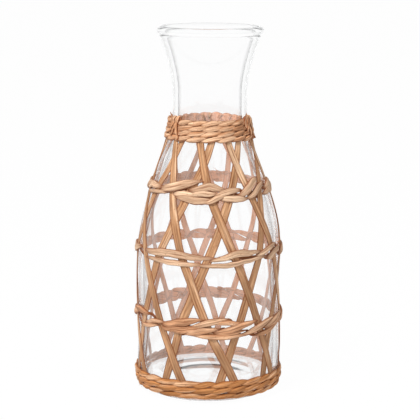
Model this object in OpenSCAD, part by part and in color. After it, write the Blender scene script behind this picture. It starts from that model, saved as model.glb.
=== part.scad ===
// Glass carafe in a sleeve of plaited natural fibre: flat upright stakes in crossed
// pairs, held by twined collars at the throat and foot and by three open bands between.
// Millimetres, +Z up, origin at the middle of the foot. Angle 0 faces -Y, and grows towards +X.

/* [Glass] */
// Outside radius of the straight body
body_r = 49.9; // [44:0.1:56]
// Height of the straight body, from the foot to the start of the shoulder
body_h = 96; // [84:1:110]
// Height of the shoulder, from the body to the neck
shoulder_h = 102; // [90:1:115]
// Outside radius of the neck
neck_r = 26; // [23:0.1:29]
// Height of the straight neck
neck_h = 12; // [6:1:24]
// Height of the flared mouth, from the neck to the middle of the rim bead
flare_h = 42; // [34:1:50]
// Outside radius of the flare at the rim bead
flare_r = 36.4; // [33:0.1:39]
// Radius of the rounded rim bead
bead_r = 3; // [2.4:0.1:3.4]
// Wall thickness of the body and shoulder
body_wall = 3.5; // [2.6:0.1:4.5]
// Wall thickness of the neck
neck_wall = 4; // [3:0.1:5]
// Wall thickness of the flare under the bead
flare_wall = 4.6; // [3.6:0.1:5.2]
// Width of the rounded heel, measured inwards from the body
heel_w = 10; // [7:0.5:13]
// Height of the rounded heel
heel_h = 12; // [9:0.5:13]
// Inner radius of the flat foot ring
foot_inner_r = 33; // [28:0.5:36]
// Rise of the hollow under the foot
punt_h = 3.5; // [2:0.1:4.5]
// Thickness of the glass floor above the foot ring
floor_t = 12; // [10:0.2:14]

/* [Stakes] */
// Width of a stake
stake_w = 5.8; // [4.6:0.1:6.2]
// Width of a stake where it runs up into the collar
stake_tip_w = 4.4; // [3.8:0.1:5]
// Thickness of a stake
stake_t = 0.5; // [0.35:0.05:0.6]

/* [Weavers] */
// Height of one twined row in the collar
collar_pitch = 3.6; // [3.5:0.05:3.7]
// Height of a collar weaver where it passes over a stake
collar_weaver_h = 3.4; // [2.8:0.1:3.45]
// Height of one twined row in the foot band
foot_pitch = 4.2; // [4.1:0.05:4.4]
// Height of a foot weaver where it passes over a stake
foot_weaver_h = 4; // [3.3:0.1:4.05]
// Thickness of a weaver where it passes over a stake
weaver_t = 0.95; // [0.7:0.05:1.2]
// Thickness of a weaver where it is pressed flat behind a stake
tucked_t = 0.45; // [0.3:0.05:0.5]
// Height of a weaver in the shoulder band
shoulder_weaver_h = 4; // [3.4:0.1:4.5]
// Height of a weaver in the waist band
waist_weaver_h = 3.3; // [2.6:0.1:3.6]
// Height of a weaver in the lower band
lower_weaver_h = 4.2; // [3.4:0.1:4.4]

/* [Places] */
// Height of the underside of the foot band above the foot
foot_band_z = 3.6; // [2.4:0.1:5]
// Height of the middle of the lower band
lower_band_z = 53.6; // [46:0.2:58]
// Distance from the start of the shoulder up to the middle of the waist band
waist_band_rise = 5.5; // [-2:0.1:7]
// Distance from the start of the shoulder up to the middle of the shoulder band
shoulder_band_rise = 48.8; // [44:0.2:52]
// Distance from the underside of the collar up to the start of the neck
collar_drop = 20.2; // [19:0.1:23]

/* [Lashings] */
// Width of a lashing that is hooked over the collar
lashing_w = 4.6; // [3.6:0.1:5.4]
// Thickness of a lashing
lashing_t = 0.7; // [0.5:0.05:0.9]
// Height that a lashing stands above the top row
lashing_rise = 1.9; // [1.6:0.1:2.6]

/* [Hidden] */
// Number of outer stakes; as many inner stakes cross under them. The patterns of the open
// bands close on themselves only where it is a multiple of three.
stake_pairs = 9;
// Number of twined rows in the collar and in the foot band
collar_rows = 4;
foot_rows = 3;
// Outer stakes from one lashing to the next
lashing_spacing = 3;
// Gap from the glass to what lies on it
glass_gap = 0.2;
// Gap between fibres that lie on each other
layer_gap = 0.25;
// Room beside a stake before a weaver starts to dive
edge_room = 0.8;
// Extra height of the outer stakes where they ride over the inner ones
cross_lift = 0.2;
// Lift of the inner stakes off the glass between bands
inner_lift = 0.38;
// Distance over which an inner stake sinks back to the glass beside a band
sink_run = 4;
// Gap left between the two tucked ends of one weaver
end_gap = 0.8;
// Distance that stakes stop short of the edges of the sleeve
stake_end = 0.5;
// Gap between the two lanes of a twined row
lane_gap = 0.15;
// Angle between two stakes past which a weaver has one more section between them
widest_span = 13;
// Height of the weavers' lanes in the open bands, from the middle of the band
shoulder_lane = 5;
waist_lane = 3.3;
lower_lane = 5.2;
// Steps along each stretch of the glass outline
outline_steps = 14;
// Steps of a stake up a twined band, up an open band, and from band to band
twined_steps = 3;
open_steps = 2;
between_steps = 3;
$fn = 96;

// How far each curve's own guide points reach along the shoulder and the flare
shoulder_swell_share = 0.41;
neck_ease_share = 0.275;
flare_ease_share = 0.36;
// Inner corner of the glass, as shares of the heel
inner_corner_share = 0.3;
// Rise of the glass floor in the middle, as a share of the hollow below
floor_crown_share = 0.55;
// How far the sleeve is drawn in under the heel, as a share of the heel's width
heel_draw_share = 0.48;
// Height of a weaver where it changes lanes in a twined row and in a climbing band, and
// behind a stake
twined_end_share = 0.5;
climb_end_share = 0.65;
tucked_share = 0.8;
// Width of a weaver's outer face
face_share = 0.62;
// How far the waist weavers still stand apart beside the stake where they cross
crossing_share = 0.62;
// Widths of a lashing from its foot to its tip, its lowest end, and the middle of its bend
lashing_width_shares = [0.5, 0.9, 1, 1, 0.8, 0.6, 0.5];
lashing_foot_share = 0.25;
lashing_bend_share = 0.75;

pitch_angle = 360 / stake_pairs;
stops = 2 * stake_pairs;
neck_z = body_h + shoulder_h;
flare_z = neck_z + neck_h;
rim_z = flare_z + flare_h;

stake_seat = glass_gap + tucked_t + layer_gap;
float_seat = stake_seat + stake_t + layer_gap;
weave_t = float_seat + weaver_t;

foot_h = foot_rows * foot_pitch;
foot_mid_z = foot_band_z + foot_h / 2;
foot_top_z = foot_band_z + foot_h;
waist_z = body_h + waist_band_rise;
shoulder_z = body_h + shoulder_band_rise;
collar_z = neck_z - collar_drop;
collar_top_z = collar_z + collar_rows * collar_pitch;
lower_half = lower_lane + lower_weaver_h / 2;
waist_half = waist_lane + waist_weaver_h / 2;
shoulder_half = shoulder_lane + shoulder_weaver_h / 2;

// Levels where the stakes change direction, from the foot up, and the turn of
// outer stake 0 and inner stake 0 there, as shares of the angle between two stakes
level_z = [foot_mid_z, lower_band_z, waist_z, shoulder_z, collar_z, collar_z + collar_pitch];
outer_turn_shares = [0.575, 0, -0.5, -0.95, -1.3, -1.325];
inner_turn_shares = [-0.925, -0.525, 0, 0.5, 1.05, 1.175];
// How many pairs further on the inner stake beside outer stake 0 stands, level by level
partner = [2, 1, 0, -1, -2];
// Hand-woven unevenness in degrees: a row for each stake from number -1 on
outer_nudges = [
    [-1, 0, 0, 0, 0, 0], [1, -1, -1, 1, 2, 1], [0, 3, 1, -2, 0, 1], [0, 0, 1, -1, -3, -1]];
inner_nudges = [
    [0, -1, -3, 1, 1, 0], [0, -1.5, -0.5, 0.5, -1, -3], [4, 5, 3, -4, 0, 0], [4, -1, 0, 0, 0, 0]];
// Largest nudge, in degrees, of the stakes that have no row above, and the phase angles by
// which it differs from one stake and one level to the next
sway = 1.2;
stake_phase = 130;
level_phase = 75;

// Numbers of the levels that the bands lie on
foot_level = 0;
lower_level = 1;
waist_level = 2;
shoulder_level = 3;
collar_level = 4;

// Point of a cubic curve at t
function cubic(a, b, c, d, t) =
    pow(1 - t, 3) * a + 3 * pow(1 - t, 2) * t * b + 3 * (1 - t) * t * t * c + pow(t, 3) * d;

// Shoulder and flare from radius r0 up to r1, then on to r2, as [radius, height] points
function upper_curve(r0, r1, r2) = concat(
    [for (i = [0:outline_steps]) let (t = i / outline_steps) [
        cubic(r0, r0, r1, r1, t),
        cubic(body_h, body_h + shoulder_swell_share * shoulder_h,
              neck_z - neck_ease_share * shoulder_h, neck_z, t)]],
    [for (i = [0:outline_steps]) let (t = i / outline_steps) [
        (1 - t * t) * r1 + t * t * r2,
        (1 - t) * (1 - t) * flare_z + 2 * (1 - t) * t * (flare_z + flare_ease_share * flare_h)
            + t * t * rim_z]]
);

// Quarter of an ellipse that starts flat at the bottom and ends upright
function corner(r, z, w, h) = [for (i = [0:outline_steps]) let (a = 90 * i / outline_steps)
    [r - w + w * sin(a), z + h - h * cos(a)]];

function reversed(list) = [for (i = [len(list) - 1:-1:0]) list[i]];

inner_r = body_r - body_wall;
outer_side = concat(corner(body_r, 0, heel_w, heel_h), upper_curve(body_r, neck_r, flare_r));
inner_side = concat(
    corner(inner_r, floor_t, inner_corner_share * heel_w, inner_corner_share * heel_h),
    upper_curve(inner_r, neck_r - neck_wall, flare_r - flare_wall));
punt = [for (i = [0:outline_steps]) let (t = i / outline_steps)
    [foot_inner_r * t, punt_h * (1 - t * t)]];
floor_edge = inner_r - inner_corner_share * heel_w;
floor_top = [for (i = [0:outline_steps - 1]) let (t = i / outline_steps)
    [floor_edge * t, floor_t + floor_crown_share * punt_h * (1 - t * t)]];
outer_table = [for (p = outer_side) [p[1], p[0]]];

// Radius of the surface that the sleeve lies on: the glass, drawn in less at the heel
function wrap_r(z) = z < heel_h
    ? body_r - heel_draw_share * heel_w * pow(1 - z / heel_h, 2)
    : lookup(z, outer_table);

function at(r, a, z) = [r * sin(a), -r * cos(a), z];
function degrees_of(length, z) = length / wrap_r(z) * 180 / PI;
function wrapped(k) = (k % stake_pairs + stake_pairs) % stake_pairs;

// Unevenness of stake k at a level: from the table, or a small sway
function nudge(table, k, level) = let (row = wrapped(k + 1))
    row < len(table) ? table[row][level] : sway * sin(stake_phase * row + level_phase * level);

// Angle of outer or inner stake k at height z
function outer_angle(k, z) = k * pitch_angle + lookup(z, [for (i = [0:len(level_z) - 1])
    [level_z[i], outer_turn_shares[i] * pitch_angle + nudge(outer_nudges, k, i)]]);
function inner_angle(k, z) = k * pitch_angle + lookup(z, [for (i = [0:len(level_z) - 1])
    [level_z[i], inner_turn_shares[i] * pitch_angle + nudge(inner_nudges, k, i)]]);

// Angle of the i-th stake met on the way round at height z, near a level
function stop_angle(i, z, level) = i % 2 == 0
    ? outer_angle(i / 2, z)
    : inner_angle((i - 1) / 2 + partner[level], z);

function width_at(z) = lookup(z, [[shoulder_z, stake_w], [collar_z, stake_tip_w]]);

// Closed solid through rings of equal size
module swept(rings) {
    n = len(rings[0]);
    last = len(rings) - 1;
    polyhedron(
        points = [for (ring = rings) each ring],
        faces = concat(
            [[for (j = [n - 1:-1:0]) j]],
            [for (i = [0:last - 1], j = [0:n - 1]) let (a = i * n, b = a + n, k = (j + 1) % n)
                each [[a + j, a + k, b + k], [a + j, b + k, b + j]]],
            [[for (j = [0:n - 1]) last * n + j]]),
        convexity = 10);
}

// Heights at which a stake's section is set: inside each band, beside it and between
band_edges = [
    [foot_band_z + stake_end, foot_top_z],
    [lower_band_z - lower_half, lower_band_z + lower_half],
    [waist_z - waist_half, waist_z + waist_half],
    [shoulder_z - shoulder_half, shoulder_z + shoulder_half],
    [collar_z, collar_top_z - stake_end]];
function evenly(low, high, count) = [for (i = [0:count]) low + i / count * (high - low)];
stake_heights = [for (i = [foot_level:collar_level]) each concat(
    evenly(band_edges[i][0], band_edges[i][1],
           i == foot_level || i == collar_level ? twined_steps : open_steps),
    i == collar_level ? []
        : evenly(band_edges[i][1] + sink_run, band_edges[i + 1][0] - sink_run, between_steps))];

// 1 inside a band and 0 on the open glass, with a ramp beside the band
function in_band(z) = max([for (edge = band_edges)
    max(0, min(1, (z - edge[0]) / sink_run + 1, (edge[1] - z) / sink_run + 1))]);

// Flat strip whose middle follows angles[i] at heights[i], with its inner face at lifts[i]
module strip(heights, angles, lifts) {
    last = len(heights) - 1;
    swept([for (i = [0:last])
        let (z = heights[i], low = max(i - 1, 0), high = min(i + 1, last),
             slant = atan2((angles[high] - angles[low]) * PI / 180 * wrap_r(z),
                           heights[high] - heights[low]),
             half = degrees_of(width_at(z) / 2 / cos(slant), z),
             r = wrap_r(z) + lifts[i])
        [at(r, angles[i] - half, z), at(r, angles[i] + half, z),
         at(r + stake_t, angles[i] + half, z), at(r + stake_t, angles[i] - half, z)]]);
}

module outer_stake(k) {
    color([0.80, 0.60, 0.38])
        strip(stake_heights,
              [for (z = stake_heights) outer_angle(k, z)],
              [for (z = stake_heights) stake_seat + (1 - in_band(z)) * cross_lift]);
}

module inner_stake(k) {
    color([0.74, 0.53, 0.32])
        strip(stake_heights,
              [for (z = stake_heights) inner_angle(k, z)],
              [for (z = stake_heights) inner_lift + in_band(z) * (stake_seat - inner_lift)]);
}

// Section of a weaver at angle a: height h about z, inner face at lift, outer face narrower
function weaver_ring(a, z, h, lift, t) = let (low = z - h / 2, high = z + h / 2,
        face_low = z - face_share * h / 2, face_high = z + face_share * h / 2)
    [at(wrap_r(low) + lift, a, low), at(wrap_r(face_low) + lift + t, a, face_low),
     at(wrap_r(face_high) + lift + t, a, face_high), at(wrap_r(high) + lift, a, high)];

// A weaver round the sleeve at height z. passes[i] gives its pass at the i-th stake: whether
// it is over the stake (1) or tucked behind (0), and its heights from the middle of the band
// before, at and after the stake. sizes gives the section's height at the same three places.
// It starts and ends tucked behind one of the stakes at the back, where its ends meet.
module weaver(z, level, passes, sizes) {
    edge = degrees_of(width_at(z) / 2 + edge_room, z);
    tuck = degrees_of(end_gap / 2, z);
    first = [for (i = [stake_pairs:stops - 1]) if (passes[i][0] == 0) i][0];
    // Angle, height, section height, lift and thickness before (0), at (1) or after (2) stop i
    function place(i, s) = let (pass = passes[i % stops], own_z = z + pass[1][s], over = pass[0] == 1)
        [stop_angle(i % stops, own_z, level) + 360 * floor(i / stops) + (s - 1) * edge, own_z,
         sizes[i % stops][s], over ? float_seat : glass_gap, over ? weaver_t : tucked_t];
    function span(i) = place(i + 1, 0)[0] - place(i, 2)[0];
    line = [for (n = [0:stops]) let (i = first + n) each concat(
        n == 0 ? [] : [place(i, 0)],
        n == 0 ? [place(i, 1) + [tuck, 0, 0, 0, 0]]
            : n == stops ? [place(i, 1) - [tuck, 0, 0, 0, 0]] : [place(i, 1)],
        n == stops ? [] : [place(i, 2)],
        n == stops || span(i) < widest_span ? [] : [(place(i, 2) + place(i + 1, 0)) / 2])];
    swept([for (p = line) weaver_ring(p[0], p[1], p[2], p[3], p[4])]);
}

// Twined row: two weavers change places at every stake and turn about each other between
module twined_weaver(z, level, side, h) {
    end_h = twined_end_share * h;
    lane = (end_h + lane_gap) / 2;
    passes = [for (i = [0:stops - 1]) (i + side) % 2 == 0
        ? [1, [-lane, 0, lane]]
        : [0, [lane, 0, -lane]]];
    sizes = [for (i = [0:stops - 1]) (i + side) % 2 == 0
        ? [end_h, h, end_h]
        : [end_h, tucked_share * h, end_h]];
    weaver(z, level, passes, sizes);
}

// Three-weaver band: each weaver climbs over two stakes and drops behind the third
module climbing_weaver(z, level, side, h, lane) {
    slim = climb_end_share * h;
    passes = [for (i = [0:stops - 1]) let (turn = (i + side) % 3)
        turn == 1 ? [1, [-lane, -lane / 2, 0]]
        : turn == 2 ? [1, [0, lane / 2, lane]]
        : [0, [lane, 0, -lane]]];
    sizes = [for (i = [0:stops - 1]) let (turn = (i + side) % 3)
        turn == 1 ? [slim, h, h] : turn == 2 ? [h, h, slim] : [slim, tucked_share * h, slim]];
    weaver(z, level, passes, sizes);
}

// Two-weaver band: the weavers run apart over two stakes and change places at every third
module crossing_weaver(z, level, side, h, lane) {
    near = crossing_share * lane;
    passes = [for (i = [0:stops - 1]) let (cell = floor(i / 3), up = (cell + side) % 2 == 0 ? 1 : -1)
        i % 3 == 0 ? [(cell + side) % 2, [-up * near, 0, up * near]]
        : [1, [up * lane, up * lane, up * lane]]];
    sizes = [for (i = [0:stops - 1]) [h, h, h]];
    weaver(z, level, passes, sizes);
}

// Short strand hooked over the collar: up the front of the rows and over the top one
module collar_lashing(k) {
    foot = collar_z + lashing_foot_share * collar_pitch;
    front = weave_t + layer_gap;
    top = collar_top_z + layer_gap;
    turn = outer_angle(lashing_spacing * (k - 1), collar_top_z);
    full = degrees_of(lashing_w / 2, collar_top_z);
    // Inner side of the hook from its foot to its tip, as [lift, height]
    line = [[front, foot], [front, foot + collar_pitch], [front, foot + 2 * collar_pitch],
            [front, top - collar_pitch / 2],
            [front - lashing_t, top + lashing_bend_share * lashing_rise],
            [stake_seat, top + lashing_rise - lashing_t], [glass_gap + lashing_t, top]];
    color([0.86, 0.66, 0.44])
        swept([for (i = [0:len(line) - 1])
            let (p = line[i], run = line[min(i + 1, len(line) - 1)] - line[max(i - 1, 0)],
                 out = [run[1], -run[0]] / norm(run) * lashing_t,
                 r = wrap_r(p[1]) + p[0], half = full * lashing_width_shares[i])
            [at(r, turn - half, p[1]), at(r, turn + half, p[1]),
             at(r + out[0], turn + half, p[1] + out[1]),
             at(r + out[0], turn - half, p[1] + out[1])]]);
}

module glass_carafe() {
    color([0.90, 0.94, 0.95, 0.35])
        rotate_extrude() {
            polygon(concat(punt, outer_side, reversed(inner_side), reversed(floor_top)));
            translate([flare_r - flare_wall / 2, rim_z]) circle(r = bead_r);
        }
}

// Number of a weaver among those of its row, from the letter in its name
function letter_number(letter) = search(letter, "abc")[0];

glass_carafe();
for (k = [1:stake_pairs]) {
    outer_stake(k - 2);
    inner_stake(k - 2);
}
for (row = [1:collar_rows], letter = ["a", "b"])
    color([0.84, 0.63, 0.41])
            twined_weaver(collar_z + (row - 1 / 2) * collar_pitch, collar_level,
                          letter_number(letter), collar_weaver_h);
for (row = [1:foot_rows], letter = ["a", "b"])
    color([0.78, 0.52, 0.29])
            twined_weaver(foot_band_z + (row - 1 / 2) * foot_pitch, foot_level,
                          letter_number(letter), foot_weaver_h);
for (letter = ["a", "b", "c"]) {
    color([0.88, 0.69, 0.48])
            climbing_weaver(shoulder_z, shoulder_level, letter_number(letter),
                            shoulder_weaver_h, shoulder_lane);
    color([0.82, 0.60, 0.38])
            climbing_weaver(lower_band_z, lower_level, letter_number(letter),
                            lower_weaver_h, lower_lane);
}
for (letter = ["a", "b"])
    color([0.85, 0.64, 0.42])
            crossing_weaver(waist_z, waist_level, letter_number(letter),
                            waist_weaver_h, waist_lane);
for (k = [1:stake_pairs / lashing_spacing])
    collar_lashing(k);
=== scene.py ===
import math
from collections import namedtuple

import bpy
import numpy as np
from mathutils import Matrix, Vector


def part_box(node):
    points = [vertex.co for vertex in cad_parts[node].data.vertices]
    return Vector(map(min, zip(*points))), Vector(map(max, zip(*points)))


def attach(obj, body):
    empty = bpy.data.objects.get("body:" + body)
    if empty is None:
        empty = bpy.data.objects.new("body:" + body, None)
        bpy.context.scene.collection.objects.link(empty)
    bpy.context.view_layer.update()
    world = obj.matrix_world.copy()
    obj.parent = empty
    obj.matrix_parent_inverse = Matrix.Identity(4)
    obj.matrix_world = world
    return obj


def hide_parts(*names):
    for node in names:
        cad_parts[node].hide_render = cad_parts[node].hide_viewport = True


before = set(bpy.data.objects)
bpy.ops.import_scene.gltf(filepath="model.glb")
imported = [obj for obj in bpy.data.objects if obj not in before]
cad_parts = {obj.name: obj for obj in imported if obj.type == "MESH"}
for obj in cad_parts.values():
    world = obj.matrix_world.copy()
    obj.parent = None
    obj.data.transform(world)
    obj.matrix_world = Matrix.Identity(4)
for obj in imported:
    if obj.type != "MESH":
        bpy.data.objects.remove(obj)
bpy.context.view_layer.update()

bl_info = {
    "name": "Woven-sleeve carafe",
    "version": (1, 0, 0),
    "blender": (4, 5, 0),
    "location": "3D View > Sidebar > Carafe",
    "description": "Builds a glass carafe with a sleeve of plaited plant fibre",
    "category": "Object",
}

MM = 0.001
DEGREE = math.pi / 180
BODY = "root"
GLASS_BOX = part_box("glass_carafe")
STAKES_PER_LAYER = 9
COLLAR_ROWS = 4
LASHINGS = 3

# How far the solids of the sleeve stay off the glass, and the share of its solid's height over
# the glass that a stake keeps, because the real strips are thinner than the solids
GLASS_GAP = 0.2 * MM
STAKE_SINK = 0.55


def srgb(red, green, blue):
    """Linear colour of a screen colour that is given from 0 to 255."""
    shares = [channel / 255 for channel in (red, green, blue)]
    return tuple(
        share / 12.92 if share <= 0.04045 else ((share + 0.055) / 1.055) ** 2.4 for share in shares
    )


def length(name, description, metres):
    """A size that a user can change."""
    return bpy.props.FloatProperty(name=name, description=description, default=metres, unit="LENGTH")


def colour(name, description, red, green, blue):
    """A colour that a user can change, given as on a screen."""
    return bpy.props.FloatVectorProperty(
        name=name, description=description, subtype="COLOR", size=3, default=srgb(red, green, blue)
    )


def number(name, description, value):
    """A plain number that a user can change."""
    return bpy.props.FloatProperty(name=name, description=description, default=value)


class CarafeGlass(bpy.types.PropertyGroup):
    """Sizes of the blown glass."""

    body_radius: length("Body radius", "Outside radius of the straight body", GLASS_BOX[1].x)
    height: length("Height", "Height of the carafe with its rim bead", GLASS_BOX[1].z)
    body_height: length("Body height", "Height of the straight body", 96 * MM)
    shoulder_height: length("Shoulder height", "From the body to the neck", 102 * MM)
    neck_radius: length("Neck radius", "Outside radius of the neck", 26 * MM)
    neck_height: length("Neck height", "Height of the straight neck", 12 * MM)
    rim_radius: length("Rim radius", "Outside radius of the flare at its bead", 36.4 * MM)
    bead_radius: length("Bead radius", "Radius of the rounded rim", 3 * MM)
    body_wall: length("Body wall", "Thickness of the body and shoulder", 3.5 * MM)
    neck_wall: length("Neck wall", "Thickness of the neck", 4 * MM)
    flare_wall: length("Flare wall", "Thickness of the flare under the bead", 4.6 * MM)
    heel_width: length("Heel width", "Width of the rounded heel", 10 * MM)
    heel_height: length("Heel height", "Height of the rounded heel", 12 * MM)
    foot_radius: length("Foot radius", "Inner radius of the foot ring", 33 * MM)
    punt: length("Hollow", "Rise of the hollow under the foot", 3.5 * MM)
    floor: length("Floor", "Thickness of the glass floor", 12 * MM)
    haze: number("Absorption", "How strongly the glass takes light, per metre", 5.0)


class CarafeFibre(bpy.types.PropertyGroup):
    """Sizes of the stakes and strands that aren't read from the solids in model.glb."""

    stake_body: length("Stake thickness", "Thickness of a stake", 0.5 * MM)
    taper_behind: number("Taper behind", "Share of its width that a stake loses at the back", 0.25)
    strand_body: length("Strand thickness", "Thickness of a strand where it lies on top", 1.25 * MM)
    ridge: length("Ridge height", "Height of the fine ridges along a strand", 0.05 * MM)
    split: length("Split depth", "Depth of the splits along a stake or strand", 0.24 * MM)
    hair: length("Hair radius", "Radius of a loose fibre", 0.07 * MM)


class CarafeColours(bpy.types.PropertyGroup):
    """Colours of the fibre, zone by zone, in plain light."""

    stake: colour("Stakes", "Golden tan of the flat stakes", 208, 158, 116)
    collar: colour("Collar", "Tan of the collar", 222, 164, 121)
    pale: colour("Upper bands", "Pale pinkish tan of the shoulder and waist bands", 255, 212, 174)
    lower: colour("Lower band", "Tan of the lower band", 238, 178, 134)
    foot: colour("Foot band", "Orange tan of the foot band", 228, 158, 98)
    cream: colour("Bleached", "Cream of the palest fibres", 255, 226, 192)
    # Painted light: the side that lies on the glass is given this paler pink, and glows with it,
    # which brightens the sleeve's far side seen through the glass
    inner: colour("Inner side", "Pinkish side that lies on the glass", 255, 192, 156)
    # Painted shade: this brown darkens the strands' edges, ends, splits and tucked stretches, where
    # shade falls; it is also the colour of the small dark flecks
    shade_and_fleck_brown: colour("Crevices", "Brown of the creases between strands", 112, 52, 12)


class CarafeStudio(bpy.types.PropertyGroup):
    """Camera and light."""

    distance: length("Camera distance", "From the camera to the axis, seen from above", 1.12)
    camera_height: length("Camera height", "Height of the camera above the floor", 324.8 * MM)
    side_step: length("Side step", "How far right of the axis the camera stands", 0.6 * MM)
    tilt: number("Tilt", "Degrees that the camera looks down", 10.046)
    roll: number("Roll", "Degrees that the camera is rolled", 0.37)
    lens: number("Lens", "Focal length in millimetres", 139.16)
    sky: number("Sky", "Strength of the light from all round", 0.46)
    key: number("Key", "Watts of the soft lamp at the upper left", 29.0)
    fill: number("Fill", "Watts of the soft lamp at the right", 2.5)


GROUPS = {
    "carafe_glass": CarafeGlass,
    "carafe_fibre": CarafeFibre,
    "carafe_colours": CarafeColours,
    "carafe_studio": CarafeStudio,
}


def bezier(a, b, c, d, t):
    """Cubic curve from a to d that b and c pull on."""
    return (1 - t) ** 3 * a + 3 * (1 - t) ** 2 * t * b + 3 * (1 - t) * t * t * c + t**3 * d


class Outline:
    """Half outline of the glass, and the surface round it that the sleeve lies on."""

    # How far the shoulder holds the body's and the neck's direction, and the flare the neck's,
    # as shares of their heights
    SHOULDER_SWELL_SHARE = 0.41
    NECK_EASE_SHARE = 0.275
    FLARE_EASE_SHARE = 0.36

    # The inner corner's size as a share of the heel's, the rise of the floor's middle as a share
    # of the hollow, and how far the sleeve is drawn in at the foot as a share of the heel's width
    INNER_CORNER_SHARE = 0.3
    FLOOR_CROWN_SHARE = 0.55
    HEEL_DRAW_SHARE = 0.48

    def __init__(self, glass):
        self.glass = glass
        self.neck_z = glass.body_height + glass.shoulder_height
        self.flare_z = self.neck_z + glass.neck_height
        self.rim_z = glass.height - glass.bead_radius
        self.outer = self.upper(glass.body_radius, glass.neck_radius, glass.rim_radius)

    def upper(self, body, neck, rim, steps=36):
        """Wall, shoulder and flare as rows of radius and height: straight, then a cubic S from
        the body to the neck, then a widening with the square of the way up."""
        glass = self.glass
        wall_z = np.linspace(2 * glass.heel_height, glass.body_height, 10)[:-1]
        wall = (np.full_like(wall_z, body), wall_z)
        t = np.linspace(0, 1, steps)
        swell = glass.body_height + self.SHOULDER_SWELL_SHARE * glass.shoulder_height
        ease = self.neck_z - self.NECK_EASE_SHARE * glass.shoulder_height
        shoulder = (
            bezier(body, body, neck, neck, t),
            bezier(glass.body_height, swell, ease, self.neck_z, t),
        )
        pull = self.flare_z + self.FLARE_EASE_SHARE * (self.rim_z - self.flare_z)
        flare = (
            (1 - t * t) * neck + t * t * rim,
            (1 - t) ** 2 * self.flare_z + 2 * (1 - t) * t * pull + t * t * self.rim_z,
        )
        return np.hstack([wall, shoulder, flare]).T

    def corner(self, radius, low, width, height, steps=18):
        """Quarter of an ellipse that starts flat at the bottom and ends upright."""
        a = np.linspace(0, math.pi / 2, steps)
        return np.stack([radius - width + width * np.sin(a), low + height - height * np.cos(a)], 1)

    def bead(self, outer, inner, steps=30):
        """The two walls up to where they meet the round rim bead, and the bead's arc over them."""
        glass = self.glass
        centre = np.array([glass.rim_radius - glass.flare_wall / 2, self.rim_z])
        outside = outer[np.hypot(*(outer - centre).T) > glass.bead_radius]
        inside = inner[np.hypot(*(inner - centre).T) > glass.bead_radius]
        start = math.atan2(*(outside[-1] - centre)[::-1])
        end = math.atan2(*(inside[-1] - centre)[::-1]) + 2 * math.pi
        a = np.linspace(start, end, steps)
        arc = centre + glass.bead_radius * np.stack([np.cos(a), np.sin(a)], 1)
        return np.vstack([outside, arc, inside[::-1]])

    def loop(self):
        """The whole half section, from beside the axis under the foot round to beside the axis
        on the floor. The hollow and the floor are parabolas."""
        glass = self.glass
        t = np.linspace(0.04, 1, 14)
        hollow = np.stack([glass.foot_radius * t, glass.punt * (1 - t * t)], 1)
        heel = self.corner(glass.body_radius, 0, glass.heel_width, glass.heel_height)
        inner_radius = glass.body_radius - glass.body_wall
        width = self.INNER_CORNER_SHARE * glass.heel_width
        height = self.INNER_CORNER_SHARE * glass.heel_height
        well = self.corner(inner_radius, glass.floor, width, height)
        crown = self.FLOOR_CROWN_SHARE * glass.punt
        floor = np.stack([(inner_radius - width) * t, glass.floor + crown * (1 - t * t)], 1)
        inner = self.upper(
            inner_radius, glass.neck_radius - glass.neck_wall, glass.rim_radius - glass.flare_wall
        )
        walls = self.bead(np.vstack([heel, self.outer]), np.vstack([well, inner]))
        rows = np.vstack([hollow, walls, floor[-2::-1]])
        far = np.hypot(*np.diff(rows, axis=0).T) > 0.02 * MM
        return rows[np.r_[True, far]]

    def radius(self, z):
        """Radius under the sleeve at height z: the glass, drawn in less at the heel."""
        glass = self.glass
        drawn = np.clip(1 - z / glass.heel_height, 0, 1) ** 2
        heel = glass.body_radius - self.HEEL_DRAW_SHARE * glass.heel_width * drawn
        return np.where(z < glass.heel_height, heel, np.interp(z, self.outer[:, 1], self.outer[:, 0]))

    def point(self, angle, z, lift):
        """Point at an angle and a height, lifted straight out from the axis."""
        r = self.radius(z) + lift
        return np.stack([r * np.sin(angle), -r * np.cos(angle), z], -1)

    def normal(self, angle, z):
        """Direction square to the glass: outwards, and up where the glass narrows."""
        slope = (self.radius(z + MM) - self.radius(z - MM)) / (2 * MM)
        up = -slope / np.sqrt(1 + slope**2)
        out = 1 / np.sqrt(1 + slope**2)
        return np.stack([out * np.sin(angle), -out * np.cos(angle), up], -1)


# The carafe's outline, made when its sizes are registered, and the fibre materials made so far
OUTLINE = None
FIBRES = {}


def unit(rows):
    """Rows of vectors, each divided by its length."""
    return rows / np.linalg.norm(rows, axis=-1, keepdims=True)


def wander(x, seed, wave, count=5):
    """Smooth unevenness from -1 to 1 along x: a few sine waves about as long as wave."""
    draw = np.random.RandomState(seed)
    waves = wave * draw.uniform(0.6, 1.7, count)
    phases = draw.uniform(0, 2 * math.pi, count)
    return np.sin(np.asarray(x)[..., None] * 2 * math.pi / waves + phases).sum(-1) / count**0.5 / 1.2


def eased(x, known_x, known_y, softness):
    """Known values joined by straight lines, then averaged over a width of about softness."""
    step = x[1] - x[0]
    reach = max(1, int(round(softness / step)))
    weights = np.hanning(2 * reach + 3)[1:-1]
    line = np.interp(x, known_x, known_y)
    padded = np.r_[np.full(reach, line[0]), line, np.full(reach, line[-1])]
    return np.convolve(padded, weights / weights.sum(), mode="valid")


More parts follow.
